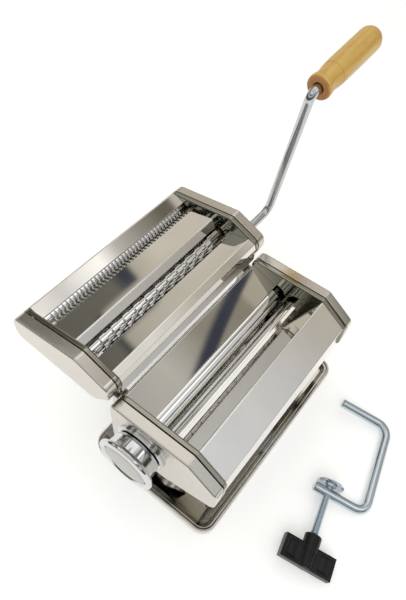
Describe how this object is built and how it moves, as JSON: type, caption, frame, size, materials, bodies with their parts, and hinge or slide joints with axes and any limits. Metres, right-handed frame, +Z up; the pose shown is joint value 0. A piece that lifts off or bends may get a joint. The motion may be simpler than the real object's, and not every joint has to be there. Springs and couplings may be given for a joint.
{
  "type": "pasta roller machine",
  "caption": "Hand-cranked steel pasta roller with a thickness knob, a lift-off twin noodle cutter head, a crank with a wooden grip and a loose table clamp.",
  "frame": {"origin": "centre of the base's underside between the side caps, 59 mm behind the base's front edge", "axes": "+Z up, +X along the rollers towards the crank, -Y towards the front cover, +Y towards the cutter head"},
  "size_m": [0.3556, 0.2995, 0.2645],
  "materials": {
    "brushed_steel": "fine brushed, nickel-like",
    "polished_steel": "polished",
    "chrome": "bright plated",
    "zinc_steel": "zinc plated",
    "gear_steel": "machined",
    "bronze": "machined",
    "roller_steel": "polished, turned",
    "spring_steel": "drawn wire",
    "beech": "clear lacquer",
    "black_plastic": "moulded",
    "rubber": "matt"
  },
  "bodies": {
    "machine": {"base_plate": "brushed_steel", "rubber_pads": "rubber", "left_frame": "brushed_steel", "right_frame": "brushed_steel", "left_cap": "brushed_steel", "right_cap": "brushed_steel", "rear_hopper": "polished_steel", "front_cover": "polished_steel", "rear_cover": "polished_steel", "tie_rods": "zinc_steel", "tie_nuts": "zinc_steel", "base_screws": "zinc_steel", "front_scraper": "polished_steel", "rear_scraper": "polished_steel", "frame_bushes": "bronze", "dial_ring": "chrome", "index_pin": "zinc_steel", "clamp_socket": "zinc_steel", "hook_brackets": "brushed_steel"},
    "drive": {"drive_shaft": "gear_steel", "drive_gear": "gear_steel"},
    "front_roll": {"front_roller": "roller_steel", "front_roller_gear": "gear_steel"},
    "slides": {"bearing_slides": "bronze"},
    "rear_roll": {"rear_roller": "roller_steel", "rear_roller_gear": "gear_steel"},
    "knob_spindle": {"knob_shaft": "gear_steel", "knob_spring": "spring_steel"},
    "knob_head": {"knob": "chrome", "knob_cover": "chrome"},
    "cutter": {"cutter_left_frame": "brushed_steel", "cutter_right_frame": "brushed_steel", "cutter_left_cap": "brushed_steel", "cutter_right_cap": "brushed_steel", "cutter_rear_plate": "polished_steel", "cutter_middle_plate": "polished_steel", "cutter_front_plate": "polished_steel", "cutter_tie_rods": "zinc_steel", "cutter_tie_nuts": "zinc_steel", "cutter_bushes": "bronze", "cutter_hooks": "brushed_steel", "thin_combs": "polished_steel", "wide_combs": "polished_steel"},
    "wide_front": {"wide_front_roller": "roller_steel", "wide_front_gear": "gear_steel"},
    "wide_rear": {"wide_rear_roller": "roller_steel", "wide_rear_gear": "gear_steel"},
    "thin_front": {"thin_front_roller": "roller_steel", "thin_front_gear": "gear_steel"},
    "thin_rear": {"thin_rear_roller": "roller_steel", "thin_rear_gear": "gear_steel"},
    "crank": {"crank_rod": "chrome", "grip_washer": "zinc_steel"},
    "grip": {"crank_grip": "beech"},
    "clamp": {"clamp_frame": "chrome"},
    "clamp_foot": {"clamp_pad": "zinc_steel"},
    "clamp_handle": {"clamp_screw": "zinc_steel", "clamp_knob": "black_plastic"}
  },
  "joints": [
    {"name": "front_roller_spin", "type": "hinge", "parent": "machine", "child": "front_roll", "pos_m": [0, -0.007, 0.082], "axis": [1, 0, 0], "continuous": true},
    {"name": "drive_spin", "type": "hinge", "parent": "machine", "child": "drive", "pos_m": [0, -0.02787, 0.0744], "axis": [1, 0, 0], "continuous": true},
    {"name": "knob_turn", "type": "hinge", "parent": "machine", "child": "knob_spindle", "pos_m": [0, 0.0135, 0.081], "axis": [1, 0, 0], "range_deg": [0, 270]},
    {"name": "roller_gap", "type": "slide", "parent": "machine", "child": "slides", "axis": [0, -1, 0], "range_m": [0, 0.0018]},
    {"name": "rear_roller_spin", "type": "hinge", "parent": "slides", "child": "rear_roll", "pos_m": [0, 0.018, 0.082], "axis": [1, 0, 0], "continuous": true},
    {"name": "knob_pull", "type": "slide", "parent": "knob_spindle", "child": "knob_head", "axis": [-1, 0, 0], "range_m": [0, 0.0025], "stiffness_N_per_m": 1500, "springref_m": -0.002, "deforming": ["knob_spring"]},
    {"name": "cutter_lift", "type": "slide", "parent": "machine", "child": "cutter", "axis": [0, 0, 1], "range_m": [0, 0.06]},
    {"name": "wide_spin", "type": "hinge", "parent": "cutter", "child": "wide_front", "pos_m": [0, 0.068, 0.1145], "axis": [1, 0, 0], "continuous": true},
    {"name": "wide_rear_spin", "type": "hinge", "parent": "cutter", "child": "wide_rear", "pos_m": [0, 0.0866, 0.1145], "axis": [1, 0, 0], "continuous": true},
    {"name": "thin_spin", "type": "hinge", "parent": "cutter", "child": "thin_front", "pos_m": [0, 0.1122, 0.119], "axis": [1, 0, 0], "continuous": true},
    {"name": "thin_rear_spin", "type": "hinge", "parent": "cutter", "child": "thin_rear", "pos_m": [0, 0.1308, 0.119], "axis": [1, 0, 0], "continuous": true},
    {"name": "crank_pull", "type": "slide", "parent": "wide_front", "child": "crank", "axis": [1, 0, 0], "range_m": [0, 0.03]},
    {"name": "grip_spin", "type": "hinge", "parent": "crank", "child": "grip", "pos_m": [0.1435, 0.05373, 0.24371], "axis": [0.9925, -0.0134, 0.1211], "continuous": true},
    {"name": "clamp_lift", "type": "slide", "parent": "machine", "child": "clamp", "axis": [0, 0, 1], "range_m": [0, 0.05]},
    {"name": "clamp_feed", "type": "slide", "parent": "clamp", "child": "clamp_foot", "axis": [0.9744, 0.225, 0], "range_m": [0, 0.03]},
    {"name": "clamp_turn", "type": "hinge", "parent": "clamp_foot", "child": "clamp_handle", "pos_m": [-0.0019, -0.1166, 0.0124], "axis": [0.9744, 0.225, 0], "range_deg": [0, 8640]}
  ],
  "couplings": [
    {"joint": "drive_spin", "follows": "front_roller_spin", "ratio": -1.125},
    {"joint": "rear_roller_spin", "follows": "front_roller_spin", "ratio": -1},
    {"joint": "knob_turn", "follows": "roller_gap", "rad_per_m": 2618},
    {"joint": "wide_rear_spin", "follows": "wide_spin", "ratio": -1},
    {"joint": "thin_rear_spin", "follows": "thin_spin", "ratio": -1},
    {"joint": "clamp_turn", "follows": "clamp_feed", "rad_per_m": 5026.5}
  ]
}
